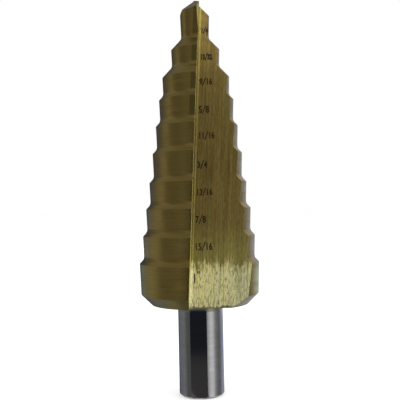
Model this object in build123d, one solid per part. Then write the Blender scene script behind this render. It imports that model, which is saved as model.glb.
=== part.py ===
"""Step drill with ten marked sizes from 1/4 to 1 inch, two straight flutes and a three-flat 3/8 inch shank.

One solid of hardened steel, standing on the end of its shank: the origin is the centre of that end face
and +Z runs along the axis to the point. The first flute opens towards -Y. Lengths are in millimetres.
"""
import math
import os

from build123d import *
from build123d.topology import SkipClean

INCH = 25.4

# Shank
SHANK_DIA = 3 / 8 * INCH
SHANK_LENGTH = 19.3
SHANK_END_CHAMFER = 0.45
SHANK_ROOT_RADIUS = 0.4       # where the shank meets the underside of the head
FLAT_COUNT = 3
FLAT_CHORD = 3.5
FLAT_ANGLE = 6.5              # the first flat looks this many degrees clockwise of -Y, seen from the point
FLAT_STOP = 0.7               # round part left between the flats and the head
FLAT_RUN_OUT_RADIUS = 0.45
COAT_OVERLAP = 0.9            # the head's coat runs this far down over the shank, which is bare below it

# Steps, from the shank upwards: the size marked on each in inches, and the height of its corner above the
# corner below it, or above the underside of the head for the first
STEPS = [
    (1, 8.65),
    (15 / 16, 5.72),
    (7 / 8, 5.7),
    (13 / 16, 5.55),
    (3 / 4, 6.11),
    (11 / 16, 5.76),
    (5 / 8, 5.53),
    (9 / 16, 4.77),
    (13 / 32, 5.88),
]
PILOT_SIZE = 1 / 4            # marked on the land above them, which ends in the point
BEVEL_ANGLE = 43.0            # of the cutting bevel between two steps, from the axis
BEVEL_ROOT_RADIUS = 1.5       # where a land runs out into the next bevel
BACK_TAPER = 2.0              # each land narrows towards the shank by this angle a side
BASE_CHAMFER = 2.2            # on the underside of the head, at 45 degrees
LAND_RELIEF = 0.04            # each land is turned about a centre this far beside the axis, so it falls
                              # away behind its cutting edge
PARTING_ANGLE = 28.0          # of the plane between the two halves, from -Y: it lies inside both flutes

# Flutes: a floor wall, which carries the size marks, and a rake wall, which ends in the cutting edge
FLUTE_COUNT = 2
FLOOR_ANGLE = 6.1             # of the floor to the axis, which it nears towards the point
FLOOR_BREAK = 8.5             # height above the underside of the head of a bend in the floor
FLOOR_FOOT_ANGLE = 7.5        # of the floor to the axis below that bend
FLOOR_DEPTH = 6.95            # from the axis to the floor at the bend
RAKE_OFFSET = -1.79           # how far beside the axis the flute's root lies at the break
RAKE_LEAN = 2.8               # of the rake wall to the axis
RAKE_ANGLE = 1.0              # of the rake wall in plan, behind the radial line
FLUTE_ROOT_RADIUS = 0.7

# Point
POINT_LENGTH = 10.58          # from the corner of the uppermost step to the chisel edge
POINT_ANGLE = 114.0
LIP_RELIEF = 24.0             # slope of the ground flat behind each lip
HEEL_RELIEF = 46.5            # slope of the second flat behind it, which thins the web
HEEL_SKEW = 13.5              # and the turn of that slope in plan, towards the lip
HEEL_DROP = 0.2               # the second flat passes this far under the middle of the chisel edge
CHISEL_LENGTH = 0.2           # what the second flats leave of the chisel edge
GASH_ANGLE = 33.0             # of the wall that each leaves behind it, in plan from the rake wall
EDGE_FLAT_WIDTH = 0.45        # small flat on the rake wall that sets the lip's outer corner back
EDGE_FLAT_LENGTH = 5.7        # it runs out this far below that corner

SHANK_R = SHANK_DIA / 2
PILOT_R = PILOT_SIZE * INCH / 2
TIP_Z = SHANK_LENGTH + sum(height for size, height in STEPS) + POINT_LENGTH
REACH = 1.5 * TIP_Z           # longer than anything it has to cut through
TOUCHING = 1e-6               # two sizes or places closer than this are the same


def slope(angle):
    return math.tan(math.radians(angle))


def half_space(origin, normal):
    """Everything on the side of a plane that its normal points to, as a block larger than the drill."""
    side = Plane(origin=origin, z_dir=normal)
    return side * Box(2 * REACH, 2 * REACH, REACH, align=(Align.CENTER, Align.CENTER, Align.MIN))


def lip_corner_z():
    """Height of the outer corner of the lips, where the point's cone meets the pilot."""
    return TIP_Z - PILOT_R / slope(POINT_ANGLE / 2)


def around(shape, count):
    """The shape and its copies, evenly spaced about the axis."""
    return [Rot(Z=360 / count * n) * shape for n in range(count)]


# Head
def head_outline():
    """Half section of the head in the XY plane: x is the radius and y the height above the shank's end."""
    corners, z = [], SHANK_LENGTH
    for size, height in STEPS:
        z += height
        corners.append((size * INCH / 2, z))
    corners.append((PILOT_R, lip_corner_z()))
    taper, bevel = slope(BACK_TAPER), slope(BEVEL_ANGLE)
    r, z = corners[0]
    rim_z = SHANK_LENGTH + BASE_CHAMFER
    rim_r = r - (z - rim_z) * taper
    points = [(0, SHANK_LENGTH), (rim_r - BASE_CHAMFER, SHANK_LENGTH), (rim_r, rim_z), (r, z)]
    roots = []
    for (r, z), (next_r, next_z) in zip(corners, corners[1:]):
        # the bevel r - (y - z) bevel meets the next land next_r - (next_z - y) taper
        y = (r - next_r + next_z * taper + z * bevel) / (taper + bevel)
        roots.append((next_r - (next_z - y) * taper, y))
        points += [roots[-1], (next_r, next_z)]
    # the pilot runs on up to the tip, where the point is ground from it
    points[-1] = (PILOT_R + (TIP_Z - lip_corner_z()) * taper, TIP_Z)
    points.append((0, TIP_Z))
    outline = make_face(Polyline(*points, close=True))
    at_roots = [outline.vertices().sort_by_distance((*root, 0))[0] for root in roots]
    return fillet(at_roots, BEVEL_ROOT_RADIUS)


def relieved_head():
    """The stepped head, whose two halves are turned about centres on opposite sides of the axis."""
    turned = revolve(Plane.XZ * head_outline(), Axis.Z)
    # the halves part along a plane that lies inside both flutes
    parting = math.radians(PARTING_ANGLE)
    side = half_space((0, 0, 0), (-math.cos(parting), -math.sin(parting), 0))
    return Part() + around((Pos(X=LAND_RELIEF) * turned) & side, FLUTE_COUNT)


# Flutes
FLOOR_NORMAL = Vector(0, -1, slope(FLOOR_ANGLE)).normalized()
FOOT_NORMAL = Vector(0, -1, slope(FLOOR_FOOT_ANGLE)).normalized()
RAKE_NORMAL = Vector(1, -slope(RAKE_ANGLE), -slope(RAKE_LEAN)).normalized()
FLUTE_ROOT = Vector(RAKE_OFFSET, -FLOOR_DEPTH, SHANK_LENGTH + FLOOR_BREAK)


def flute_pass(floor_normal):
    """What the flute cutter removes in one straight pass, between the rake wall and a floor."""
    section = Plane(
        origin=FLUTE_ROOT,
        x_dir=floor_normal.cross(RAKE_NORMAL.cross(floor_normal)),
        z_dir=RAKE_NORMAL.cross(floor_normal),
    )
    # in this section the floor is the x axis and the flute lies on the +y side of it
    rake_normal = section.to_local_coords(FLUTE_ROOT + RAKE_NORMAL)
    along_rake = (-rake_normal.Y * REACH, rake_normal.X * REACH)
    corner = make_face(Polyline((0, 0), (REACH, 0), (REACH, REACH), along_rake, close=True))
    return extrude(section * corner, REACH, both=True)


def flute():
    """The passes over the floor and over its foot, with a rounded root where they meet the rake wall."""
    cut = flute_pass(FLOOR_NORMAL) & flute_pass(FOOT_NORMAL)
    at_bend = cut.vertices().sort_by_distance(FLUTE_ROOT)[0]
    meeting = [edge for edge in cut.edges() if edge.distance_to(at_bend) < TOUCHING]
    # the third edge there is the bend itself, which runs across the flute
    lengthwise = sorted(meeting, key=lambda edge: abs(edge.tangent_at(0).Z))[1:]
    return fillet(lengthwise, FLUTE_ROOT_RADIUS)


def rake_x(y, z):
    """Where the rake wall lies at this depth and height."""
    to_root = Vector(0, y, z) - FLUTE_ROOT
    return FLUTE_ROOT.X - (to_root.Y * RAKE_NORMAL.Y + to_root.Z * RAKE_NORMAL.Z) / RAKE_NORMAL.X


# Point
def lip_flat():
    """What is ground off above the flat that forms one lip and, with its twin, the chisel edge."""
    return half_space((0, 0, TIP_Z), (-slope(LIP_RELIEF), -1 / slope(POINT_ANGLE / 2), 1))


def heel_flat():
    """What is ground off above the other tooth's heel, as far as a wall that splits the web."""
    fall = slope(HEEL_RELIEF)
    skew = math.radians(HEEL_SKEW)
    above = half_space((0, 0, TIP_Z - HEEL_DROP), (fall * math.cos(skew), -fall * math.sin(skew), 1))
    along_chisel = Vector(1, -slope(LIP_RELIEF) * slope(POINT_ANGLE / 2), 0).normalized()
    gash = math.radians(GASH_ANGLE - RAKE_ANGLE)
    return above & half_space(along_chisel * (CHISEL_LENGTH / 2), (math.cos(gash), math.sin(gash), 0))


def edge_flat():
    """What is ground off the rake wall beside the lip: nothing at its lower end and at the tip's middle."""
    corner_z = lip_corner_z()
    foot_z = corner_z - EDGE_FLAT_LENGTH
    foot = Vector(rake_x(-PILOT_R, foot_z), -PILOT_R, foot_z)
    # the edge of the flute's rounded root, level with the tip
    root_edge = FLUTE_ROOT + FLOOR_NORMAL * FLUTE_ROOT_RADIUS
    inner_y = root_edge.Y + (TIP_Z - root_edge.Z) * slope(FLOOR_ANGLE)
    inner = Vector(rake_x(inner_y, TIP_Z), inner_y, TIP_Z)
    outer = Vector(rake_x(-PILOT_R, corner_z) - EDGE_FLAT_WIDTH, -PILOT_R, corner_z)
    facing = (inner - foot).cross(outer - foot).normalized()
    facing = facing if facing.X > 0 else -facing
    upper = half_space((0, 0, foot_z), (0, 0, 1))
    return half_space(foot, facing) & upper & half_space(root_edge, FLOOR_NORMAL)


# Shank
def shank():
    round_bar = Cylinder(SHANK_R, SHANK_LENGTH, align=(Align.CENTER, Align.CENTER, Align.MIN))
    round_bar = chamfer(round_bar.edges().sort_by(Axis.Z)[0], SHANK_END_CHAMFER)
    # turned so that the seam of its round face falls in the first flat
    return Rot(Z=-90 - FLAT_ANGLE) * round_bar


def shank_flat():
    """What is milled off one side of the shank: it ends in a rounded run-out short of the head."""
    to_flat = math.sqrt(SHANK_R**2 - (FLAT_CHORD / 2) ** 2)
    # as long below the shank's end as above it, so that it passes through that end
    length = 2 * (SHANK_LENGTH - FLAT_STOP)
    block = Box(SHANK_R, SHANK_DIA, length, align=(Align.MIN, Align.CENTER, Align.CENTER))
    inner_top = block.edges().filter_by(Axis.Y).sort_by(Axis.Z)[-2:].sort_by(Axis.X)[0]
    block = fillet(inner_top, FLAT_RUN_OUT_RADIUS)
    return Rot(Z=-90 - FLAT_ANGLE) * Pos(X=to_flat) * block


def parted_at_coat(drill):
    """The same solid, with the shank's faces parted where the coat ends."""
    coat_end = Plane.XY.offset(SHANK_LENGTH - COAT_OVERLAP)
    coated = split(drill, bisect_by=coat_end, keep=Keep.TOP)
    bare = split(drill, bisect_by=coat_end, keep=Keep.BOTTOM)
    # an ordinary fuse would merge their faces again
    with SkipClean():
        return coated + bare


def step_drill():
    drill = relieved_head() + shank()
    circles = drill.edges().filter_by(GeomType.CIRCLE)
    neck = [edge for edge in circles if abs(edge.radius - SHANK_R) < TOUCHING]
    drill = fillet(ShapeList(neck).sort_by(Axis.Z)[-1], SHANK_ROOT_RADIUS)
    drill -= around(flute(), FLUTE_COUNT)
    drill -= around(heel_flat(), FLUTE_COUNT)
    drill -= around(edge_flat(), FLUTE_COUNT)
    drill -= around(lip_flat(), FLUTE_COUNT)
    drill -= around(shank_flat(), FLAT_COUNT)
    return parted_at_coat(drill)


os.makedirs("parts", exist_ok=True)
drill = step_drill()
drill.label = "step_drill"
export_step(drill, "parts/step_drill.step")
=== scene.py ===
import math

import bpy
from bpy.props import FloatProperty, FloatVectorProperty, PointerProperty
from mathutils import Matrix, Vector


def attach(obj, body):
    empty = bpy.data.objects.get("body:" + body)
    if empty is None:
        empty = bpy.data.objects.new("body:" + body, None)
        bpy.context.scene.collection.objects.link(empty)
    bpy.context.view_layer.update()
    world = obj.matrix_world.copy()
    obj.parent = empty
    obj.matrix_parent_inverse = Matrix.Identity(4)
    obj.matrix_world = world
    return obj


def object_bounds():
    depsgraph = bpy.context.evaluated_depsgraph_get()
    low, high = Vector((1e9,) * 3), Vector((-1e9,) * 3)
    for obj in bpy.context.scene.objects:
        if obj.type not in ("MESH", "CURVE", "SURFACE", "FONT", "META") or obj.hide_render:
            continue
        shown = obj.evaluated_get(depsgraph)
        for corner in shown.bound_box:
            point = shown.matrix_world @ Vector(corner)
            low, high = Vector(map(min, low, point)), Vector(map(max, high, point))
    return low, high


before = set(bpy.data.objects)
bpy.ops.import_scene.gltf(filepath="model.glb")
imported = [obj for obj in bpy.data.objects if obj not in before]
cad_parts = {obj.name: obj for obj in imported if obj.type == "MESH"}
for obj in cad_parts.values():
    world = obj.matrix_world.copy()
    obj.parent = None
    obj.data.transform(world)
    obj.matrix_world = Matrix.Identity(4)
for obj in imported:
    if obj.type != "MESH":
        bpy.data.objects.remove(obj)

bl_info = {
    "name": "Step drill",
    "version": (1, 0, 0),
    "blender": (4, 5, 0),
    "location": "View3D > Sidebar > Step drill",
    "description": "Finishes, size marks and studio stage for a two-flute step drill",
    "category": "Object",
}

CAD_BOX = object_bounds()
DRILL = "step_drill"
MM = 0.001
TOP_Z = CAD_BOX[1][2] / MM


def slope(degrees):
    return math.tan(math.radians(degrees))


# Angles of a flute in degrees: of its floor to the axis, above its bend and below it,
# of its rake wall to the axis and to the radius, and of its root to the axis, from the side.
FLOOR_LEAN = 6.1
FOOT_LEAN = 7.5
RAKE_LEAN = 2.8
RAKE_ANGLE = 1
ROOT_LEAN = 6.5

# Planes of the first flute in mm, as unit normals with a point on each.
# The second flute is its half-turn copy.
FLUTE_BEND_Z = 27.8
FLOOR_DEPTH = 6.95
FLOOR_NORMAL = Vector((0, -1, slope(FLOOR_LEAN))).normalized()
FOOT_NORMAL = Vector((0, -1, slope(FOOT_LEAN))).normalized()
FLOOR_POINT = Vector((0, -FLOOR_DEPTH, FLUTE_BEND_Z))
RAKE_NORMAL = Vector((1, -slope(RAKE_ANGLE), -slope(RAKE_LEAN))).normalized()
RAKE_POINT = Vector((-1.79, -FLOOR_DEPTH, FLUTE_BEND_Z))
ROOT_RADIUS = 0.7
HALF_TURN = Matrix.Rotation(math.pi, 3, "Z")

# The rest of the drill's own sizes, in mm and degrees.
SHANK_RADIUS = 4.7625
FILLET_FROM_Z = 18.8
HEAD_UNDERSIDE_Z = 19.3
FIRST_FLAT_AZIMUTH = -96.5
FLAT_SPACING = 120
GROUND_FROM_Z = 75.9
LIP_CORNER_Z = 81.49


# Settings

class StepDrillFinish(bpy.types.PropertyGroup):
    coat_color: FloatVectorProperty(
        name="Coat", description="Colour of the gold nitride coat on the head",
        subtype="COLOR", size=3, min=0, max=1, default=(0.345, 0.250, 0.074))
    foot_color: FloatVectorProperty(
        name="Flute foot",
        description="Colour of the paler, rougher patch at the foot of each flute",
        subtype="COLOR", size=3, min=0, max=1, default=(0.81, 0.76, 0.346))
    steel_color: FloatVectorProperty(
        name="Bare steel", description="Colour of the uncoated shank",
        subtype="COLOR", size=3, min=0, max=1, default=(0.30, 0.30, 0.30))
    mark_color: FloatVectorProperty(
        name="Size marks", description="Colour of the laser-etched size marks",
        subtype="COLOR", size=3, min=0, max=1, default=(0.014, 0.008, 0.003))
    coat_end: FloatProperty(
        name="Coat end", description="Height above the shank's end at which the coat stops",
        subtype="DISTANCE", unit="LENGTH", default=18.05 * MM)
    foot_height: FloatProperty(
        name="Foot height",
        description="Height above the shank's end up to which the flute foot is paler",
        subtype="DISTANCE", unit="LENGTH", default=28.15 * MM)
    line_depth: FloatProperty(
        name="Line depth", description="Height of the turning and grinding lines in the bump",
        subtype="DISTANCE", unit="LENGTH", default=0.004 * MM)


class StepDrillMarks(bpy.types.PropertyGroup):
    height: FloatProperty(
        name="Height", description="Height of the digits, as a share of each mark's own",
        subtype="FACTOR", min=0.5, max=1.5, default=1.0)
    width: FloatProperty(
        name="Width", description="Width of the marks, as a share of each mark's own",
        subtype="FACTOR", min=0.5, max=1.5, default=1.0)
    thickness: FloatProperty(
        name="Thickness", description="How far a mark stands proud of the flute floor",
        subtype="DISTANCE", unit="LENGTH", default=0.012 * MM)


class StepDrillStage(bpy.types.PropertyGroup):
    camera_distance: FloatProperty(
        name="Camera distance", description="Distance of the camera from the drill's axis",
        subtype="DISTANCE", unit="LENGTH", default=142.9 * MM)
    camera_height: FloatProperty(
        name="Camera height", description="Height of the camera above the floor",
        subtype="DISTANCE", unit="LENGTH", default=39.47 * MM)
    camera_roll: FloatProperty(
        name="Camera roll", description="How far the camera is turned about its line of sight",
        subtype="ANGLE", unit="ROTATION", default=math.radians(-1.16))
    lens: FloatProperty(
        name="Focal length", description="Focal length of the camera on a 36 mm sensor",
        subtype="DISTANCE_CAMERA", default=60.48)
    floor_color: FloatVectorProperty(
        name="Floor", description="Colour of the pale floor",
        subtype="COLOR", size=3, min=0, max=1, default=(0.86, 0.86, 0.86))
    lamp_power: FloatProperty(
        name="Lamp power", description="Power of each soft lamp",
        unit="POWER", min=0, default=1.6)


class StepDrillSettings(bpy.types.PropertyGroup):
    finish: PointerProperty(type=StepDrillFinish)
    marks: PointerProperty(type=StepDrillMarks)
    stage: PointerProperty(type=StepDrillStage)


# Node helpers

NOISE_RANGE = (0.3, 0.7)    # where nearly all of a noise's values lie


def add(tree, kind, inputs=(), **settings):
    """Adds a node with its own settings, and gives each input a value or another node's socket."""
    made = tree.nodes.new(kind)
    for key, value in settings.items():
        setattr(made, key, value)
    for key, value in dict(inputs).items():
        socket = made.inputs[key]
        if isinstance(value, bpy.types.NodeSocket):
            tree.links.new(value, socket)
        else:
            socket.default_value = value
    return made


def math_node(tree, operation, *values):
    return add(tree, "ShaderNodeMath", enumerate(values), operation=operation).outputs[0]


def times(tree, *values):
    """The product of two or more values."""
    product = values[0]
    for value in values[1:]:
        product = math_node(tree, "MULTIPLY", product, value)
    return product


def ramp_between(tree, value, low, high, out_low=0.0, out_high=1.0, smooth=True):
    return add(tree, "ShaderNodeMapRange",
               {"Value": value, "From Min": low, "From Max": high,
                "To Min": out_low, "To Max": out_high},
               interpolation_type="SMOOTHSTEP" if smooth else "LINEAR").outputs["Result"]


def mix_value(tree, factor, a, b):
    return add(tree, "ShaderNodeMix", {0: factor, 2: a, 3: b}).outputs[0]


def mix_color(tree, factor, a, b, blend="MIX"):
    """A mix of two colours, each a socket or a constant of three channels."""
    a, b = ((*color, 1) if isinstance(color, tuple) else color for color in (a, b))
    return add(tree, "ShaderNodeMix", {0: factor, 6: a, 7: b},
               data_type="RGBA", blend_type=blend, clamp_factor=True).outputs[2]


def scaled(tree, vector, level):
    """A colour or a point with all its parts multiplied by a level."""
    return add(tree, "ShaderNodeVectorMath", {0: vector, 3: level}, operation="SCALE").outputs[0]


def shade_of(color, factor):
    """A constant colour multiplied by one factor, or by one for each of its channels."""
    factors = factor if isinstance(factor, tuple) else (factor,) * 3
    return tuple(k * c for k, c in zip(factors, color))


def hand_curve(tree, value, points, top):
    """A value that follows given points, each a place and its level, which is at most top."""
    low, high = points[0][0], points[-1][0]
    curve = tree.nodes.new("ShaderNodeFloatCurve")
    marks = curve.mapping.curves[0].points
    for mark, (_, level) in zip(marks, (points[0], points[-1])):
        mark.location.y = level / top
    for where, level in points[1:-1]:
        marks.new((where - low) / (high - low), level / top)
    for mark in marks:
        mark.handle_type = "AUTO_CLAMPED"
    curve.mapping.update()
    tree.links.new(ramp_between(tree, value, low, high, smooth=False), curve.inputs["Value"])
    return times(tree, curve.outputs[0], top)


def point(tree, x, y, z):
    return add(tree, "ShaderNodeCombineXYZ", {0: x, 1: y, 2: z}).outputs[0]


def noise(tree, spot, detail, scale=1.0, roughness=0.5):
    return add(tree, "ShaderNodeTexNoise", {
        "Vector": spot, "Scale": scale, "Detail": detail, "Roughness": roughness}).outputs["Fac"]


def position_mm(tree):
    """The point on the drill in mm, as x, y and z sockets and as one vector."""
    spot = scaled(tree, add(tree, "ShaderNodeTexCoord").outputs["Object"], 1 / MM)
    x, y, z = add(tree, "ShaderNodeSeparateXYZ", {0: spot}).outputs
    return x, y, z, spot


def from_axis(tree, x, y):
    """Distance from the drill's axis."""
    return math_node(tree, "SQRT", math_node(tree, "ADD", times(tree, x, x), times(tree, y, y)))


def flute_side(tree, y):
    """1 on the first flute's half of the drill and -1 on the second's."""
    return times(tree, math_node(tree, "SIGN", y), -1.0)


def new_group(name, inputs, outputs):
    """A node group with named sockets: (name, type, default) of inputs, (name, type) of outputs."""
    group = bpy.data.node_groups.new(name, "ShaderNodeTree")
    for label, kind, default in inputs:
        socket = group.interface.new_socket(label, in_out="INPUT", socket_type=kind)
        socket.default_value = default
    for label, kind in outputs:
        group.interface.new_socket(label, in_out="OUTPUT", socket_type=kind)
    return group, group.nodes.new("NodeGroupInput"), group.nodes.new("NodeGroupOutput")


# Shared effects

def turned_lines_group():
    """Fine circles of turning and grinding about the axis, which fade in and out around it."""
    group, gi, go = new_group(
        "turned_lines", [("Lines per mm", "NodeSocketFloat", 6.0)],
        [("Lines", "NodeSocketFloat"), ("Bands", "NodeSocketFloat")])
    line_fade, bands_per_mm, band_fade = 0.12, 0.9, 0.1
    radial_share = 0.8      # how close the circles are on a face across the axis
    x, y, z, _ = position_mm(group)
    along = math_node(group, "ADD", times(group, from_axis(group, x, y), radial_share), z)
    fine = point(group, times(group, along, gi.outputs["Lines per mm"]),
                 times(group, x, line_fade), times(group, y, line_fade))
    lines = noise(group, fine, 3.0, roughness=0.65)
    group.links.new(ramp_between(group, lines, *NOISE_RANGE, smooth=False), go.inputs["Lines"])
    broad = point(group, times(group, along, bands_per_mm),
                  times(group, x, band_fade), times(group, y, band_fade))
    group.links.new(noise(group, broad, 2.0), go.inputs["Bands"])
    return group


def straight_lines_group():
    """Grinding lines that run up a flute, along the root between its two walls."""
    group, gi, go = new_group(
        "straight_lines",
        [("Lines per mm", "NodeSocketFloat", 5.0), ("Stretch", "NodeSocketFloat", 30.0)],
        [("Lines", "NodeSocketFloat"), ("Streaks", "NodeSocketFloat")])
    x, y, z, _ = position_mm(group)
    side = flute_side(group, y)
    across = math_node(group, "MULTIPLY_ADD", z, -slope(RAKE_LEAN), times(group, x, side))
    deep = math_node(group, "MULTIPLY_ADD", z, -slope(ROOT_LEAN), times(group, y, side))
    per_mm = gi.outputs["Lines per mm"]
    run = math_node(group, "DIVIDE", times(group, z, per_mm), gi.outputs["Stretch"])
    spot = point(group, times(group, across, per_mm), times(group, deep, per_mm), run)
    fine = noise(group, spot, 4.0, roughness=0.6)
    group.links.new(ramp_between(group, fine, *NOISE_RANGE, smooth=False), go.inputs["Lines"])
    broad = noise(group, spot, 2.0, scale=0.42)
    group.links.new(ramp_between(group, broad, 0.35, 0.65), go.inputs["Streaks"])
    return group


def mottle_group():
    """Slow change of tone over the coat, with small dark specks."""
    group, gi, go = new_group(
        "mottle",
        [("Size", "NodeSocketFloat", 4.0), ("Speck size", "NodeSocketFloat", 0.35)],
        [("Cloud", "NodeSocketFloat"), ("Specks", "NodeSocketFloat")])
    _, _, _, spot = position_mm(group)
    clouds = scaled(group, spot, math_node(group, "DIVIDE", 1.0, gi.outputs["Size"]))
    group.links.new(noise(group, clouds, 3.0), go.inputs["Cloud"])
    grains = scaled(group, spot, math_node(group, "DIVIDE", 1.0, gi.outputs["Speck size"]))
    specks = ramp_between(group, noise(group, grains, 2.0), 0.62, 0.74)
    group.links.new(specks, go.inputs["Specks"])
    return group


def edge_wear_and_highlight_group():
    """1 along the corners that point outwards, 0 on the faces between them: where the coat is worn
    and a highlight is painted.
    """
    group, gi, go = new_group(
        "edge_wear_and_highlight", [("Width", "NodeSocketFloat", 0.06 * MM)],
        [("Edge", "NodeSocketFloat"), ("Rounded", "NodeSocketVector")])
    rounded = add(group, "ShaderNodeBevel", {"Radius": gi.outputs["Width"]}, samples=4).outputs[0]
    plain = group.nodes.new("ShaderNodeNewGeometry").outputs["Normal"]
    alike = add(group, "ShaderNodeVectorMath", {0: rounded, 1: plain},
                operation="DOT_PRODUCT").outputs["Value"]
    group.links.new(ramp_between(group, alike, 0.995, 0.85), go.inputs["Edge"])
    group.links.new(rounded, go.inputs["Rounded"])
    return group


EFFECTS = {
    "turned_lines": turned_lines_group,
    "straight_lines": straight_lines_group,
    "mottle": mottle_group,
    "edge_wear_and_highlight": edge_wear_and_highlight_group,
}


def effect(tree, name, **inputs):
    """Places a shared effect with its own values, and builds it the first time it is used."""
    group = bpy.data.node_groups.get(name) or EFFECTS[name]()
    made = add(tree, "ShaderNodeGroup", node_tree=group)
    for label, value in inputs.items():
        made.inputs[label.replace("_", " ")].default_value = value
    return made.outputs


# Finishes

# Constant colours, and factors on the colours of the settings.
WORN_COAT_AND_HIGHLIGHT = (0.5, 0.43, 0.22)
UNDERSIDE_SHADE_TINT = (0.74, 0.84, 0.92)
WARM_TINT = (1.05, 0.98, 0.98)
GREEN_TINT = (0.95, 1.12, 1.1)
GREY_FOOT_TINT = (0.90, 0.94, 1.18)
RAKE_TINT_AND_LIGHT = (1.5, 1.7, 1.7)
GROUND_DARK = (0.33, 0.29, 0.13)
GROUND_LIGHT = (0.45, 0.40, 0.20)
COAT_BAND = (0.20, 0.19, 0.125)
BLUE_FLAT_TINT = (0.81, 0.91, 1.22)
BROWN_FLAT_TINT = (1.07, 1.0, 1.0)

# Painted shade in a band on a land next to the cutting edge, for a darker reflection there: its
# inner and outer bounds in mm from the rake wall, and how dark. The broad one is there only high
# up the drill.
BROAD_SHADE_BAND = (-1.3, -0.95)
BROAD_SHADE_BAND_DARK = 0.42
BROAD_SHADE_BAND_HEIGHTS = (54, 60)
NARROW_SHADE_BAND = (-0.65, -0.35)
NARROW_SHADE_BAND_DARK = 0.2
# Rise of the normal, as a cosine, from a bevel to a land and to the underside, which gets painted
# shade.
LAND_RISE = (0.3, 0.15)
UNDERSIDE_RISE = (-0.15, -0.4)
SHADOW_LINE = 0.18          # what is left of the coat's brightness where the head meets the shank

# On a flute, in mm: the heights between which its painted shade changes and it turns warmer, the
# part of its width where the painted shade by the root ends, and for its foot, the width over which
# its painted light changes and how far the edge is spread.
SHADE_HEIGHTS = (30, 60)
WARM_HEIGHTS = (29, 39)
ROOT_SIDE = (2.5, 4.5)
ROOT_SIDE_SHADE = 0.90
FOOT_WIDTH = (0, 8)
FOOT_SHADES = (1.13, 0.88)
FOOT_EDGE = (-1.2, 2.2)

# Turn of the brushing, as a share of a whole one, that takes it from around the axis to along it.
UP_AND_DOWN = 0.25
ETCH_DEPTH = 0.003 * MM     # height of the etched marks' bump

# Painted light and shade: how light the coat is made at each height in mm, on a flute and on its
# rake wall.
FLUTE_PAINTED_LIGHT = (
    (19, 1.9), (29, 1.9), (30.4, 1.84), (32, 1.63), (34.2, 1.39), (36.5, 1.2), (42.6, 1.1),
    (48, 0.95), (54, 0.97), (59, 0.98), (63.4, 1.05), (65.6, 1.1), (68.5, 1.3), (74.5, 1.68),
    (79.5, 1.9), (84, 1.95),
)
RAKE_PAINTED_LIGHT = (
    (19, 1.9), (27, 1.9), (29, 1.7), (34, 1.5), (40, 1.25), (50, 1.0), (62, 0.95), (71, 1.6),
    (75, 1.6), (77, 1.0), (84, 0.85),
)
MOST_FLUTE_PAINTED_LIGHT = 2.0
MOST_RAKE_PAINTED_LIGHT = 3.0


def new_material(name):
    """A new material: itself, its node tree and its shader."""
    made = bpy.data.materials.new(name)
    made.use_nodes = True
    tree = made.node_tree
    return made, tree, next(n for n in tree.nodes if n.type == "BSDF_PRINCIPLED")


def metal(name, anisotropy, rotation=0.0):
    """A new metal material, brushed around the drill's axis unless it has a rotation."""
    made, tree, shader = new_material(name)
    tangent = add(tree, "ShaderNodeTangent", direction_type="RADIAL", axis="Z")
    tree.links.new(tangent.outputs[0], shader.inputs["Tangent"])
    shader.inputs["Metallic"].default_value = 1.0
    shader.inputs["Anisotropic"].default_value = anisotropy
    shader.inputs["Anisotropic Rotation"].default_value = rotation
    return made, tree, shader


def surface(tree, shader, tone, rough, height, depth, strength, normal=None):
    """Feeds a shader its colour, its roughness and its bump."""
    inputs = {"Strength": strength, "Distance": depth, "Height": height}
    if normal is not None:
        inputs["Normal"] = normal
    bump = add(tree, "ShaderNodeBump", inputs).outputs[0]
    for label, socket in (("Base Color", tone), ("Roughness", rough), ("Normal", bump)):
        tree.links.new(socket, shader.inputs[label])


def lined(tree, lines, color, dark, light):
    """A constant colour, darkened and lightened along fine lines."""
    return mix_color(tree, lines["Lines"], shade_of(color, dark), shade_of(color, light))


def from_rake_wall(tree, x, y, z):
    """Distance in mm from the nearer rake wall, less than 0 in the tooth behind it."""
    side = flute_side(tree, y)
    out = math_node(tree, "ADD", times(tree, x, side, RAKE_NORMAL.x),
                    times(tree, y, side, RAKE_NORMAL.y))
    out = math_node(tree, "ADD", out, times(tree, z, RAKE_NORMAL.z))
    return math_node(tree, "SUBTRACT", out, RAKE_POINT.dot(RAKE_NORMAL))


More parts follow.
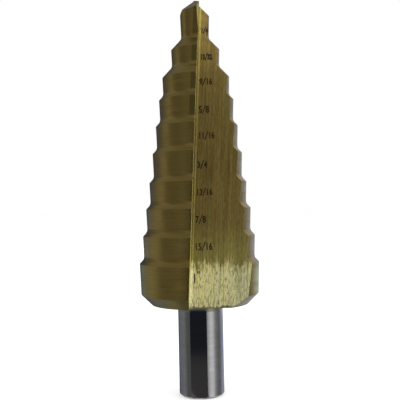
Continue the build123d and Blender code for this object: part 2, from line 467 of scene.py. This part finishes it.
def turned_coat(finish):
    """Lands, bevels and underside of the head: coated over the circles of their turning, with
    painted shade beside the cutting edge, on faces that look down and where the head meets the
    shank.
    """
    made, tree, shader = metal("gold_coat_turned", anisotropy=0.5)
    lines = effect(tree, "turned_lines")
    cloud = effect(tree, "mottle")
    corner_wear_and_highlight = effect(tree, "edge_wear_and_highlight")
    coat = tuple(finish.coat_color)
    dark = 0.84
    tone = lined(tree, lines, coat, dark, light=1.09)
    cloudy = ramp_between(tree, cloud["Cloud"], 0.35, 0.7, 0.0, 0.35)
    tone = mix_color(tree, cloudy, tone, shade_of(coat, dark))
    # worn coat on the outward corners, lighter there also as a painted highlight
    tone = mix_color(tree, times(tree, corner_wear_and_highlight["Edge"], 0.5), tone, WORN_COAT_AND_HIGHLIGHT)
    x, y, z, _ = position_mm(tree)
    normal = tree.nodes.new("ShaderNodeNewGeometry").outputs["Normal"]
    upwards = add(tree, "ShaderNodeSeparateXYZ", {0: normal}).outputs[2]
    on_land = ramp_between(tree, math_node(tree, "ABSOLUTE", upwards), *LAND_RISE)
    # painted shade in a band on each land next to the cutting edge
    to_edge = from_rake_wall(tree, x, y, z)
    broad = times(tree, ramp_between(tree, to_edge, *BROAD_SHADE_BAND),
                  ramp_between(tree, z, *BROAD_SHADE_BAND_HEIGHTS, 0.0, BROAD_SHADE_BAND_DARK))
    narrow = ramp_between(tree, to_edge, *NARROW_SHADE_BAND, 0.0, NARROW_SHADE_BAND_DARK)
    edge_shade = times(tree, math_node(tree, "MAXIMUM", broad, narrow), on_land)
    tone = scaled(tree, tone, math_node(tree, "SUBTRACT", 1.0, edge_shade))
    # painted shade, bluish, on faces that look down
    underside = ramp_between(tree, upwards, *UNDERSIDE_RISE)
    tone = mix_color(tree, underside, tone, shade_of(coat, UNDERSIDE_SHADE_TINT))
    tone = scaled(tree, tone, ramp_between(
        tree, z, HEAD_UNDERSIDE_Z - 0.1, HEAD_UNDERSIDE_Z + 0.2, SHADOW_LINE, 1.0))
    rough = ramp_between(tree, lines["Bands"], *NOISE_RANGE, 0.2, 0.3)
    surface(tree, shader, tone, rough, lines["Lines"], finish.line_depth, 0.6, corner_wear_and_highlight["Rounded"])
    return made


def flute_tone(tree, finish, z, lines, warm_share):
    """Colour of the coat on a flute, streaked along the grinding lines, with painted light and
    shade by height.
    """
    coat = tuple(finish.coat_color)
    warmth = times(tree, ramp_between(tree, lines["Streaks"], 0, 1, 0.45, 1.0),
                   ramp_between(tree, z, *WARM_HEIGHTS, 0.0, warm_share))
    tone = mix_color(tree, warmth, shade_of(coat, GREEN_TINT), shade_of(coat, WARM_TINT))
    streaks = ramp_between(tree, lines["Lines"], 0.1, 0.9, 0.74, 1.26, smooth=False)
    tone = scaled(tree, tone, streaks)
    # painted light and shade by height
    return scaled(tree, tone, hand_curve(tree, z, FLUTE_PAINTED_LIGHT, MOST_FLUTE_PAINTED_LIGHT))


def foot_mask(tree, finish, z, spot, lines, grooves):
    """1 in the pale foot of a flute and 0 above it, with a ragged edge between them."""
    edge = finish.foot_height / MM
    ragged = noise(tree, spot, 4.0, scale=1.1)
    for value, reach in ((ragged, 2.6), (lines["Lines"], 1.2), (grooves["Lines"], 2.0)):
        edge = math_node(tree, "ADD", math_node(tree, "MULTIPLY_ADD", value, reach, -reach / 2),
                         edge)
    return ramp_between(tree, math_node(tree, "SUBTRACT", edge, z), *FOOT_EDGE)


def foot_tone(tree, finish, lines, grooves, specks, across):
    """Colour of the pale foot of a flute, darker in its grooves, with painted light and shade
    across its width.
    """
    pale = tuple(finish.foot_color)
    tone = mix_color(tree, lines["Streaks"], shade_of(pale, GREY_FOOT_TINT), pale)
    for mask, share in ((ramp_between(tree, lines["Lines"], 0.6, 0.1), 0.62),
                        (ramp_between(tree, grooves["Lines"], 0.56, 0.1), 0.32),
                        (specks, 0.3)):
        tone = mix_color(tree, mask, tone, shade_of(pale, share))
    # painted light and shade across the foot's width
    return scaled(tree, tone, ramp_between(tree, across, *FOOT_WIDTH, *FOOT_SHADES, smooth=False))


def flute_coat(finish, name="gold_coat_flute", roughness=0.34, low_shade=1.0, high_shade=1.0,
               warm_share=1.0, foot_metallic=0.55):
    """Flute floor: coated over grinding lines that run up it, and paler and rougher at its foot,
    with painted shade towards the root and painted light and shade by height.
    """
    made, tree, shader = metal(name, anisotropy=0.4, rotation=UP_AND_DOWN)
    lines = effect(tree, "straight_lines", Lines_per_mm=3.2, Stretch=60.0)
    grooves = effect(tree, "straight_lines", Lines_per_mm=5.2, Stretch=6.0)
    cloud = effect(tree, "mottle", Speck_size=0.22)
    corner_wear_and_highlight = effect(tree, "edge_wear_and_highlight")
    x, y, z, spot = position_mm(tree)
    across = times(tree, x, flute_side(tree, y))
    foot = foot_mask(tree, finish, z, spot, lines, grooves)

    # painted shade: darker towards the root, and on the root darker low down
    shade = times(tree, ramp_between(tree, z, *SHADE_HEIGHTS, low_shade, high_shade, smooth=False),
                  ramp_between(tree, across, *ROOT_SIDE, ROOT_SIDE_SHADE, 1.0))
    tone = scaled(tree, flute_tone(tree, finish, z, lines, warm_share), shade)
    tone = scaled(tree, tone, ramp_between(
        tree, grooves["Lines"], 0.1, 0.9, 0.78, 1.22, smooth=False))
    tone = mix_color(tree, foot, tone,
                     foot_tone(tree, finish, lines, grooves, cloud["Specks"], across))
    # darker, in an uneven band, along the lower end of the floor
    darker_lower_end = ramp_between(tree, math_node(tree, "MULTIPLY_ADD", grooves["Streaks"], -0.35, z),
                        HEAD_UNDERSIDE_Z + 0.05, HEAD_UNDERSIDE_Z + 0.3, 0.3, 1.0)
    tone = scaled(tree, tone, darker_lower_end)
    # worn coat on the outward corners, lighter there also as a painted highlight
    tone = mix_color(tree, times(tree, corner_wear_and_highlight["Edge"], 0.3), tone, WORN_COAT_AND_HIGHLIGHT)

    tree.links.new(ramp_between(tree, foot, 0, 1, 1.0, foot_metallic), shader.inputs["Metallic"])
    rough = ramp_between(tree, foot, 0, 1, roughness, 0.6)
    height = math_node(tree, "ADD", lines["Lines"], times(tree, foot, grooves["Lines"]))
    surface(tree, shader, tone, rough, height, finish.line_depth, 0.6, corner_wear_and_highlight["Rounded"])
    return made


def root_coat(finish):
    """Rounded root between the rake wall and the floor of each flute, with painted shade, deepest
    low down.
    """
    return flute_coat(finish, "gold_coat_root", roughness=0.6, low_shade=0.62, high_shade=1.0,
                      warm_share=0.2, foot_metallic=0.25)


def rake_coat(finish):
    """Rake wall of each flute and the flat beside its lip, where the coat is painted brightest: a
    painted reflection.
    """
    made, tree, shader = metal("gold_coat_rake", anisotropy=0.85, rotation=UP_AND_DOWN)
    shader.inputs["Metallic"].default_value = 0.35
    lines = effect(tree, "straight_lines")
    corner_wear_and_highlight = effect(tree, "edge_wear_and_highlight")
    _, _, z, _ = position_mm(tree)
    # a yellower tint, with painted light that makes the coat brighter here
    bright = shade_of(finish.coat_color, RAKE_TINT_AND_LIGHT)
    tone = lined(tree, lines, bright, dark=0.8, light=1.0)
    # painted light and shade by height
    tone = scaled(tree, tone, hand_curve(tree, z, RAKE_PAINTED_LIGHT, MOST_RAKE_PAINTED_LIGHT))
    rough = ramp_between(tree, lines["Streaks"], 0, 1, 0.5, 0.58)
    surface(tree, shader, tone, rough, lines["Lines"], finish.line_depth, 0.5, corner_wear_and_highlight["Rounded"])
    return made


def ground_coat(finish):
    """Flats of the point: ground, and only thinly coated."""
    made, tree, shader = metal("ground_point", anisotropy=0.3)
    lines = effect(tree, "straight_lines")
    corner_wear_and_highlight = effect(tree, "edge_wear_and_highlight")
    tone = mix_color(tree, lines["Lines"], GROUND_DARK, GROUND_LIGHT)
    rough = ramp_between(tree, lines["Streaks"], 0, 1, 0.26, 0.36)
    surface(tree, shader, tone, rough, lines["Lines"], finish.line_depth, 0.5, corner_wear_and_highlight["Rounded"])
    return made


def bare_steel(finish):
    """Round of the shank, bare up to the narrow band where the coat thins out."""
    made, tree, shader = metal("bare_steel_turned", anisotropy=0.45)
    lines = effect(tree, "turned_lines", Lines_per_mm=9.0)
    cloud = effect(tree, "mottle")
    corner_wear_and_highlight = effect(tree, "edge_wear_and_highlight")
    _, _, z, _ = position_mm(tree)
    steel = tuple(finish.steel_color)
    tone = lined(tree, lines, steel, dark=0.88, light=1.08)
    cloudy = ramp_between(tree, cloud["Cloud"], 0.4, 0.7, 0, 0.3)
    tone = mix_color(tree, cloudy, tone, shade_of(steel, 0.8))
    coat_end, half_band = finish.coat_end / MM, 0.2
    coated = ramp_between(tree, z, coat_end - half_band, coat_end + half_band)
    tone = mix_color(tree, coated, tone, COAT_BAND)
    tree.links.new(ramp_between(tree, coated, 0, 1, 1.0, 0.45), shader.inputs["Metallic"])
    rough = ramp_between(tree, lines["Bands"], *NOISE_RANGE, 0.17, 0.24)
    surface(tree, shader, tone, rough, lines["Lines"], finish.line_depth, 0.5, corner_wear_and_highlight["Rounded"])
    return made


def bare_flat(finish):
    """Flats of the shank: burnished, bluish above and brownish below."""
    made, tree, shader = metal("bare_steel_flat", anisotropy=0.3)
    lines = effect(tree, "turned_lines", Lines_per_mm=7.0)
    corner_wear_and_highlight = effect(tree, "edge_wear_and_highlight")
    cloud = effect(tree, "mottle", Size=2.5)
    _, _, z, _ = position_mm(tree)
    steel = tuple(finish.steel_color)
    patchy = math_node(tree, "MULTIPLY_ADD", cloud["Cloud"], 6.0, z)
    tone = mix_color(tree, ramp_between(tree, patchy, 9.5, 14.5),
                     shade_of(steel, BROWN_FLAT_TINT), shade_of(steel, BLUE_FLAT_TINT))
    tone = mix_color(tree, times(tree, lines["Lines"], 0.5), tone, shade_of(steel, 0.7))
    rough = ramp_between(tree, lines["Bands"], *NOISE_RANGE, 0.09, 0.14)
    surface(tree, shader, tone, rough, lines["Lines"], finish.line_depth, 0.15, corner_wear_and_highlight["Rounded"])
    return made


def etched(finish):
    """Laser-etched marks: dark brown oxide with a dull, uneven surface."""
    made, tree, shader = new_material("etched_mark")
    shader.inputs["Specular IOR Level"].default_value = 0.12
    cloud = effect(tree, "mottle", Size=0.25, Speck_size=0.12)
    mark = tuple(finish.mark_color)
    tone = mix_color(tree, cloud["Cloud"], mark, shade_of(mark, 2.2))
    rough = ramp_between(tree, cloud["Cloud"], *NOISE_RANGE, 0.45, 0.65)
    surface(tree, shader, tone, rough, cloud["Cloud"], ETCH_DEPTH, 0.5)
    return made


FINISHES = {
    "turned": turned_coat,
    "flute": flute_coat,
    "rake": rake_coat,
    "root": root_coat,
    "ground": ground_coat,
    "shank": bare_steel,
    "flat": bare_flat,
}

# How near to a wall a face of it lies, in mm, and how nearly its normal is the wall's, as a cosine.
NEAR = 0.05
SAME_WAY = 0.9995
# What the mesh may be off by, in mm or as a cosine.
HAIR = 0.02
# Of the normals, as cosines: the least rise on an end face and on the point's flats, the most
# in a root, and the least that one on a land is in line with the way out from the axis.
END_FACE = 0.9
POINT_FLAT = 0.3
ROOT_RISE = 0.2
STRAIGHT_OUT = 0.97
ROOT_TOP_Z = TOP_Z - 1


def shank_kind(center, normal):
    """Which finish a face below the head takes."""
    if center.z > FILLET_FROM_Z:
        return "turned"
    azimuth = math.degrees(math.atan2(normal.y, normal.x)) - FIRST_FLAT_AZIMUTH
    off_flat = (azimuth + FLAT_SPACING / 2) % FLAT_SPACING - FLAT_SPACING / 2
    # the faces of a flat lie inside the round, or slope where it runs out
    inside_round = math.hypot(center.x, center.y) < SHANK_RADIUS - HAIR
    slopes = abs(normal.z) > HAIR / 2
    if abs(off_flat) < 1.0 and abs(normal.z) < END_FACE and (inside_round or slopes):
        return "flat"
    return "shank"


def flute_kind(center, normal):
    """Which finish a face of the first flute takes, or None for any other face."""
    on_walls = [(abs((center - FLOOR_POINT).dot(wall)), normal.dot(wall))
                for wall in (FLOOR_NORMAL, FOOT_NORMAL)]
    if any(off < NEAR and along > SAME_WAY for off, along in on_walls):
        return "flute"
    off_rake = abs((center - RAKE_POINT).dot(RAKE_NORMAL))
    if off_rake < NEAR and normal.dot(RAKE_NORMAL) > SAME_WAY:
        return "rake"
    off_floor = min(off for off, _ in on_walls)
    between = normal.x > HAIR and normal.y < -HAIR and abs(normal.z) < ROOT_RISE
    if between and max(off_rake, off_floor) < ROOT_RADIUS + NEAR and center.z < ROOT_TOP_Z:
        return "root"
    return None


def face_kind(center, normal):
    """Which finish a face of the drill takes, from its centre in mm and its normal."""
    from_middle = math.hypot(center.x, center.y)
    if center.z < HEAD_UNDERSIDE_Z and from_middle < SHANK_RADIUS + HAIR:
        return shank_kind(center, normal)
    kind = flute_kind(center, normal) or flute_kind(HALF_TURN @ center, HALF_TURN @ normal)
    if kind:
        return kind
    if center.z > GROUND_FROM_Z and normal.z > POINT_FLAT or center.z > LIP_CORNER_Z:
        return "ground"
    # up there, a face that doesn't look straight outwards is a corner flat or a gash's wall
    outwards = Vector((center.x, center.y, 0)).normalized()
    if center.z > GROUND_FROM_Z and abs(normal.dot(outwards)) < STRAIGHT_OUT:
        return "rake"
    return "turned"


def finish_drill(drill, finish):
    made = [maker(finish) for maker in FINISHES.values()]
    drill.data.materials.clear()
    for material in made:
        drill.data.materials.append(material)
    kinds = list(FINISHES)
    for face in drill.data.polygons:
        face.material_index = kinds.index(face_kind(face.center / MM, face.normal))


# Size marks

# Each mark's words and name, where its middle stands on the first flute's floor (x and z),
# the height of its digits and its whole width, in mm.
SIZE_MARKS = (
    ("1/4", "quarter", 2.02, 76.74, 1.10, 1.50),
    ("13/32", "thirteen_thirtyseconds", 2.26, 71.06, 1.25, 2.47),
    ("9/16", "nine_sixteenths", 2.07, 65.81, 1.40, 2.73),
    ("5/8", "five_eighths", 1.55, 59.90, 1.50, 2.22),
    ("11/16", "eleven_sixteenths", 1.96, 54.46, 1.45, 3.37),
    ("3/4", "three_quarters", 0.95, 48.40, 1.40, 2.10),
    ("13/16", "thirteen_sixteenths", 1.28, 42.72, 1.40, 3.38),
    ("7/8", "seven_eighths", 0.45, 37.14, 1.45, 2.14),
    ("15/16", "fifteen_sixteenths", 0.89, 31.62, 1.50, 3.65),
    ("1", "one", -1.05, 25.27, 1.99, 0.60),
    ("\"", "inch_sign", -0.21, 26.47, 0.66, 0.56),
)
LETTER_SIZE = 1.0
PLAIN_STROKE = 0.09         # width of a plain letter's stroke, as a share of the letter size
MARK_STROKE = 0.21          # width of an etched stroke in mm
MOST_GROWTH = 0.09          # how far a letter's outline may be thickened
DIGIT_SHARE = 0.84          # share of its cell's width that a digit fills
SLASH_REACH = 0.14          # how far the slash passes the digits, as a share of their height


def floor_normal(z):
    return FLOOR_NORMAL if z > FLUTE_BEND_Z else FOOT_NORMAL


def floor_y(z):
    """y of the first flute's floor, in mm, at a height above the shank's end."""
    normal = floor_normal(z)
    return FLOOR_POINT.y + (z - FLUTE_BEND_Z) * -normal.z / normal.y


def glyph(sign, growth=0.0):
    """Points and faces of one digit or inch sign, 1 unit thick each way about the plane z = 0."""
    curve = bpy.data.curves.new("glyph", "FONT")
    curve.body = sign
    curve.size = LETTER_SIZE
    curve.resolution_u = 4
    curve.extrude = 1.0
    curve.offset = growth
    letters = bpy.data.objects.new("glyph", curve)
    bpy.context.scene.collection.objects.link(letters)
    bpy.context.view_layer.update()
    solid = letters.evaluated_get(bpy.context.evaluated_depsgraph_get())
    mesh = bpy.data.meshes.new_from_object(solid)
    points = [tuple(v.co) for v in mesh.vertices]
    faces = [tuple(p.vertices) for p in mesh.polygons]
    bpy.data.objects.remove(letters)
    bpy.data.curves.remove(curve)
    bpy.data.meshes.remove(mesh)
    return points, faces


def slash(half):
    """Points and faces of a slash over a cell 1 wide and digits 1 high, 2 halves across."""
    low, high = -SLASH_REACH, 1 + SLASH_REACH
    outline = [(-half, low), (half, low), (1 + half, high), (1 - half, high)]
    points = [(x, y, side) for side in (-1.0, 1.0) for x, y in outline]
    faces = [(3, 2, 1, 0), (4, 5, 6, 7)]
    faces += [(i, (i + 1) % 4, 4 + (i + 1) % 4, 4 + i) for i in range(4)]
    return points, faces


def span(points, axis):
    values = [p[axis] for p in points]
    return min(values), max(values)


def laid_out(words, width, height):
    """Points and faces of a mark whose cells share its width, in mm, centred on the origin."""
    all_points, all_faces = [], []
    cell = width / len(words)
    left_8, right_8 = span(glyph("8")[0], 0)
    for i, sign in enumerate(words):
        if sign == "/":
            points, faces = slash(MARK_STROKE / 2 / cell)
            points = [(x * cell, (y - 0.5) * height, z) for x, y, z in points]
        else:
            left, right = (left_8, right_8) if sign.isdigit() else span(glyph(sign)[0], 0)
            grow = cell * DIGIT_SHARE / (right - left)
            growth = min(MOST_GROWTH, max(0.0, (MARK_STROKE / grow - PLAIN_STROKE) / 2))
            points, faces = glyph(sign, growth)
            low, high = span(points, 1)
            left, right = span(points, 0)
            points = [((x - (left + right) / 2) * grow + cell / 2,
                       ((y - low) / (high - low) - 0.5) * height, z) for x, y, z in points]
        start = len(all_points)
        all_points += [(x + i * cell - width / 2, y, z) for x, y, z in points]
        all_faces += [tuple(start + k for k in face) for face in faces]
    return all_points, all_faces


def size_mark(words, name, x, z, height, width, thickness, material):
    """Lays one mark on the first flute's floor, sunk as deep as it stands proud."""
    points, faces = laid_out(words, width, height)
    mesh = bpy.data.meshes.new("size_mark_" + name)
    mesh.from_pydata(points, [], faces)
    normal = floor_normal(z)
    across = Vector((1, 0, 0))
    up = normal.cross(across).normalized()
    lie = Matrix((across, up, normal)).transposed().to_4x4()
    mesh.transform(Matrix.Translation(Vector((x, floor_y(z), z)) * MM) @ lie
                   @ Matrix.Diagonal((MM, MM, thickness, 1.0)))
    mesh.materials.append(material)
    piece = bpy.data.objects.new(mesh.name, mesh)
    bpy.context.scene.collection.objects.link(piece)
    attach(piece, "root")


# What the metal mirrors

# Around the drill: degrees from the camera, + to its right, and how bright it is there.
SURROUNDINGS = (
    (-180, 0.16), (-165, 0.14), (-150, 0.18), (-136, 0.34), (-124, 0.34), (-105, 0.41),
    (-93, 0.41), (-86, 0.33), (-80, 0.22), (-76, 0.20), (-50, 0.20), (-38, 0.25), (-30, 0.24),
    (-24, 0.16), (24, 0.10), (33, 0.16), (40, 1.2), (53, 1.6), (61, 1.56), (69, 1.0),
    (79, 0.52), (92, 0.33), (104, 0.26), (124, 0.50), (139, 0.70), (150, 0.62), (165, 0.58),
    (180, 0.50),
)
# On the camera's own side: degrees above the middle of the drill, and how bright it is there.
FRONT = (
    (-90, 0.10), (-60, 0.095), (-47, 0.085), (-41, 0.055), (-36, 0.032), (-16, 0.028),
    (-10, 0.18), (0, 0.15), (7, 0.24), (12, 0.28), (16, 0.26), (22, 0.28), (30, 0.46),
    (45, 0.42), (90, 0.30),
)
BRIGHTEST = 2.0
MIDDLE_Z = 40.0             # height of the drill's middle in mm, where rise is measured from

# Each change below has the angles in degrees where it begins and where it is complete. TURN is
# around the drill, BOTH_TURN the same on both sides of it, and RISE above its middle.
# On the camera's own side the second list takes over.
FRONT_BOTH_TURN = (30, 22)
# Overhead it is even.
CEILING = 0.30
CEILING_RISE = (40, 55)
# At the left, away from the camera, it is darker above the horizon.
HIGH_SHARE = 0.5
HIGH_TURN = (-88, -130)
HIGH_RISE = (-6, 2)
HIGH_END_RISE = (35, 20)
# Low down it is lighter at the right, away from the camera, and at the left of the camera.
LOW_RISE = (-4, -12)
LOW_END_RISE = (-22, -16)
LOW_RIGHT_GAIN = 0.55
LOW_RIGHT_TURN = (95, 125)
LOW_LEFT_GAIN = 0.25
LOW_LEFT_TURN = (-75, -45)
LOW_LEFT_END_TURN = (-5, -20)
# Away from the camera it is bluer, and low down greener.
BACK_TINT = (0.89, 0.95, 1.18)
BACK_BOTH_TURN = (105, 130)
BACK_END_RISE = (20, 8)
LOW_TINT = (0.95, 1.06, 0.94)
LOW_TINT_BOTH_TURN = (85, 105)


def blank_material(name):
    """A new material with no nodes: itself and its node tree."""
    made, tree, _ = new_material(name)
    tree.nodes.clear()
    return made, tree


def surroundings_material():
    """Glow of the cards, which goes by where each spot on them lies, seen from the drill."""
    made, tree = blank_material("studio_cards")
    x, y, z, _ = position_mm(tree)
    away = from_axis(tree, x, y)
    turn = math_node(tree, "DEGREES", math_node(tree, "ARCTAN2", x, times(tree, y, -1.0)))
    # close to the shank, the card is laid out as a ray from the shank's side meets it
    near = math_node(tree, "DIVIDE", away, math_node(tree, "SUBTRACT", away, SHANK_RADIUS / 2))
    turn = times(tree, turn, near)
    both_turn = math_node(tree, "ABSOLUTE", turn)
    above = math_node(tree, "SUBTRACT", z, MIDDLE_Z)
    rise = math_node(tree, "DEGREES", math_node(tree, "ARCTAN2", above, away))

    high = times(tree, ramp_between(tree, turn, *HIGH_TURN), ramp_between(tree, rise, *HIGH_RISE),
                 ramp_between(tree, rise, *HIGH_END_RISE))
    low = times(tree, ramp_between(tree, rise, *LOW_RISE), ramp_between(tree, rise, *LOW_END_RISE))
    low_right = times(tree, ramp_between(tree, turn, *LOW_RIGHT_TURN), low)
    low_left = times(tree, ramp_between(tree, turn, *LOW_LEFT_TURN),
                     ramp_between(tree, turn, *LOW_LEFT_END_TURN), low)
    gain = math_node(tree, "MAXIMUM", times(tree, low_right, LOW_RIGHT_GAIN),
                     times(tree, low_left, LOW_LEFT_GAIN))
    level = times(tree, hand_curve(tree, turn, SURROUNDINGS, BRIGHTEST),
                  math_node(tree, "MULTIPLY_ADD", high, HIGH_SHARE - 1.0, 1.0),
                  math_node(tree, "ADD", gain, 1.0))
    level = mix_value(tree, ramp_between(tree, both_turn, *FRONT_BOTH_TURN), level,
                      hand_curve(tree, rise, FRONT, BRIGHTEST))
    level = mix_value(tree, ramp_between(tree, rise, *CEILING_RISE), level, CEILING)

    bluer = times(tree, ramp_between(tree, both_turn, *BACK_BOTH_TURN),
                  ramp_between(tree, rise, *BACK_END_RISE))
    tint = mix_color(tree, bluer, (1, 1, 1), BACK_TINT)
    greener = times(tree, ramp_between(tree, both_turn, *LOW_TINT_BOTH_TURN), low)
    tint = mix_color(tree, greener, tint, LOW_TINT, "MULTIPLY")
    glow = add(tree, "ShaderNodeEmission", {"Strength": level, "Color": tint})
    add(tree, "ShaderNodeOutputMaterial", {"Surface": glow.outputs[0]})
    return made


# Stage

CAMERA_RISE = 0.02          # share of the picture's width that the view is shifted up
CARD_SIDES = 96

# Sizes and places on the stage, in metres.
CAMERA_X = 0.34 * MM
FLOOR_REACH = 30.0          # half the floor's width
CARD_RADIUS = 0.42
CARD_TOP = 0.6
WALL_CARD_FOOT = 0.0005
FLOOR_CARD_HEIGHT = 0.0002
SHANK_HOLE = 0.0048         # radius of the floor card's hole around the shank
# Each lamp's name, place and width.
LAMPS = (
    ("lamp_left", (-0.5, -0.5, 0.6), 0.5),
    ("lamp_right", (0.6, -0.3, 0.5), 0.5),
    ("lamp_back", (0.1, 0.7, 0.7), 0.6),
)
LAMP_AIM = (0, 0, 0.04)

# How brightly the white world lights things, and the floor's glow where it is looked at.
WORLD_LIGHT = 0.75
FLOOR_GLOW = 0.35
WHITE = (1, 1, 1, 1)


def looked_at(tree):
    """1 for what is seen straight, mirrored or through glass, and 0 for the light on things."""
    path = tree.nodes.new("ShaderNodeLightPath").outputs
    beyond = math_node(tree, "MAXIMUM", path["Is Glossy Ray"], path["Is Transmission Ray"])
    return math_node(tree, "MAXIMUM", path["Is Camera Ray"], beyond)


def set_camera(scene, stage):
    """Looks level at the drill, with the photograph's perspective and tilt."""
    lens = bpy.data.cameras.new("camera")
    lens.sensor_width = 36
    lens.lens = stage.lens
    lens.shift_y = CAMERA_RISE
    lens.clip_start = 0.01
    camera = bpy.data.objects.new("camera", lens)
    scene.collection.objects.link(camera)
    camera.matrix_world = (
        Matrix.Translation((CAMERA_X, -stage.camera_distance, stage.camera_height))
        @ Matrix.Rotation(math.radians(90), 4, "X")
        @ Matrix.Rotation(stage.camera_roll, 4, "Z"))
    scene.camera = camera


def set_world(scene):
    """A white world."""
    world = bpy.data.worlds.new("studio")
    scene.world = world
    world.use_nodes = True
    tree = world.node_tree
    tree.nodes.clear()
    level = ramp_between(tree, looked_at(tree), 0, 1, WORLD_LIGHT, 1.0, smooth=False)
    background = add(tree, "ShaderNodeBackground", {"Color": WHITE, "Strength": level})
    add(tree, "ShaderNodeOutputWorld", {"Surface": background.outputs[0]})


def stage_piece(name, vertices, faces, material):
    mesh = bpy.data.meshes.new(name)
    mesh.from_pydata(vertices, [], faces)
    mesh.materials.append(material)
    obj = bpy.data.objects.new(name, mesh)
    bpy.context.scene.collection.objects.link(obj)
    return obj


def set_floor(stage):
    """A pale floor, which keeps the drill's shadow."""
    material, tree = blank_material("studio_floor")
    lit = add(tree, "ShaderNodeBsdfDiffuse", {"Color": (*stage.floor_color, 1)})
    glow = add(tree, "ShaderNodeEmission", {
        "Color": WHITE, "Strength": times(tree, looked_at(tree), FLOOR_GLOW)})
    both = add(tree, "ShaderNodeAddShader", {0: lit.outputs[0], 1: glow.outputs[0]})
    add(tree, "ShaderNodeOutputMaterial", {"Surface": both.outputs[0]})
    corners = [(x * FLOOR_REACH, y * FLOOR_REACH, 0)
               for x, y in ((-1, -1), (1, -1), (1, 1), (-1, 1))]
    stage_piece("floor", corners, [(0, 1, 2, 3)], material)


def set_cards():
    """Cards around, under and over the drill, seen in its metal and nowhere else."""
    glow = surroundings_material()
    ring = [(math.sin(a), -math.cos(a))
            for a in (math.tau * i / CARD_SIDES - math.pi for i in range(CARD_SIDES))]
    following = [(i + 1) % CARD_SIDES for i in range(CARD_SIDES)]
    faces = [(i, j, CARD_SIDES + j, CARD_SIDES + i) for i, j in enumerate(following)]
    for name, *rims in (
            ("wall_card", (CARD_RADIUS, WALL_CARD_FOOT), (CARD_RADIUS, CARD_TOP)),
            ("floor_card", (SHANK_HOLE, FLOOR_CARD_HEIGHT), (CARD_RADIUS, FLOOR_CARD_HEIGHT)),
            ("ceiling_card", (0.0, CARD_TOP), (CARD_RADIUS, CARD_TOP))):
        vertices = [(radius * s, radius * c, z) for radius, z in rims for s, c in ring]
        card = stage_piece(name, vertices, faces, glow)
        card.visible_camera = False
        card.visible_diffuse = False
        card.visible_shadow = False
        card.visible_transmission = False


def set_lamps(scene, stage):
    """Soft round lamps, which aren't seen and aren't mirrored."""
    for name, spot, size in LAMPS:
        data = bpy.data.lights.new(name, "AREA")
        data.shape = "DISK"
        data.size = size
        data.energy = stage.lamp_power
        lamp = bpy.data.objects.new(name, data)
        scene.collection.objects.link(lamp)
        aim = Vector(LAMP_AIM) - Vector(spot)
        facing = aim.to_track_quat("-Z", "Y").to_matrix().to_4x4()
        lamp.matrix_world = Matrix.Translation(spot) @ facing
        lamp.visible_glossy = False
        lamp.visible_camera = False


# Operators

class STEPDRILL_OT_finish(bpy.types.Operator):
    """Give every face of the drill the finish of its kind"""
    bl_idname = "stepdrill.finish"
    bl_label = "Drill finishes"

    def execute(self, context):
        finish_drill(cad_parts[DRILL], context.scene.step_drill.finish)
        return {"FINISHED"}


class STEPDRILL_OT_marks(bpy.types.Operator):
    """Lay the size marks on the first flute's floor"""
    bl_idname = "stepdrill.marks"
    bl_label = "Size marks"

    def execute(self, context):
        settings = context.scene.step_drill
        marks = settings.marks
        material = etched(settings.finish)
        for words, name, x, z, height, width in SIZE_MARKS:
            size_mark(words, name, x, z, height * marks.height, width * marks.width,
                      marks.thickness, material)
        return {"FINISHED"}


class STEPDRILL_OT_stage(bpy.types.Operator):
    """Set up the camera, the floor, the cards around the drill and the lamps"""
    bl_idname = "stepdrill.stage"
    bl_label = "Studio stage"

    def execute(self, context):
        scene = context.scene
        stage = scene.step_drill.stage
        scene.view_settings.view_transform = "Standard"
        set_camera(scene, stage)
        set_world(scene)
        set_floor(stage)
        set_cards()
        set_lamps(scene, stage)
        return {"FINISHED"}


class STEPDRILL_PT_panel(bpy.types.Panel):
    """Lists the steps that dress the drill"""
    bl_idname = "STEPDRILL_PT_panel"
    bl_label = "Step drill"
    bl_space_type = "VIEW_3D"
    bl_region_type = "UI"
    bl_category = "Step drill"

    def draw(self, context):
        settings = context.scene.step_drill
        for group, operator in ((settings.finish, STEPDRILL_OT_finish),
                                (settings.marks, STEPDRILL_OT_marks),
                                (settings.stage, STEPDRILL_OT_stage)):
            box = self.layout.box()
            for key in group.__annotations__:
                box.prop(group, key)
            box.operator(operator.bl_idname)


CLASSES = (StepDrillFinish, StepDrillMarks, StepDrillStage, StepDrillSettings,
           STEPDRILL_OT_finish, STEPDRILL_OT_marks, STEPDRILL_OT_stage, STEPDRILL_PT_panel)


def register():
    for cls in CLASSES:
        bpy.utils.register_class(cls)
    bpy.types.Scene.step_drill = PointerProperty(type=StepDrillSettings)


def unregister():
    del bpy.types.Scene.step_drill
    for cls in reversed(CLASSES):
        bpy.utils.unregister_class(cls)


def main():
    register()
    bpy.ops.stepdrill.finish()
    bpy.ops.stepdrill.marks()
    bpy.ops.stepdrill.stage()
    bpy.context.view_layer.update()


if __name__ == "__main__":
    main()
